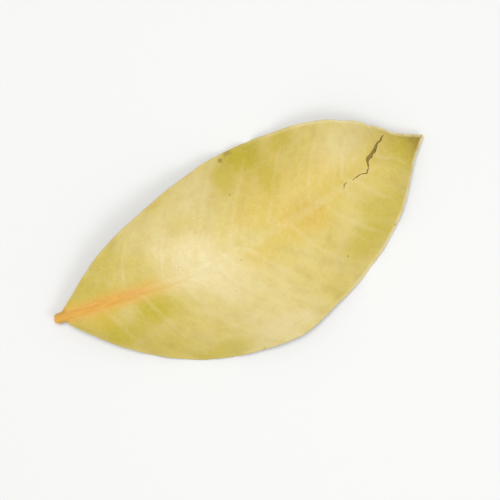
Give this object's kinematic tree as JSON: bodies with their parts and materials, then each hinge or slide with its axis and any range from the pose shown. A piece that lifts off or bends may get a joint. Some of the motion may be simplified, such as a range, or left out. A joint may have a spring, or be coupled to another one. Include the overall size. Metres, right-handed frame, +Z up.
{
  "type": "dried bay leaf",
  "caption": "Whole dried bay leaf lying upper side up: a thin arched blade with wavy margins, raised midrib, short broken stalk and a split near its tip.",
  "frame": {"origin": "bottom centre of the leaf's box, on the surface that the low points of its margins rest on", "axes": "+X from the stalk to the tip, +Y to the leaf's left, +Z up through the upper side of the blade"},
  "size_m": [0.0664, 0.032, 0.007],
  "materials": {
    "dried_leaf": "dry olive-tan leaf with a soft satin shine, pale veins and an orange-tan midrib and stalk"
  },
  "bodies": {
    "root": {"bay_leaf": "dried_leaf"}
  },
  "joints": []
}
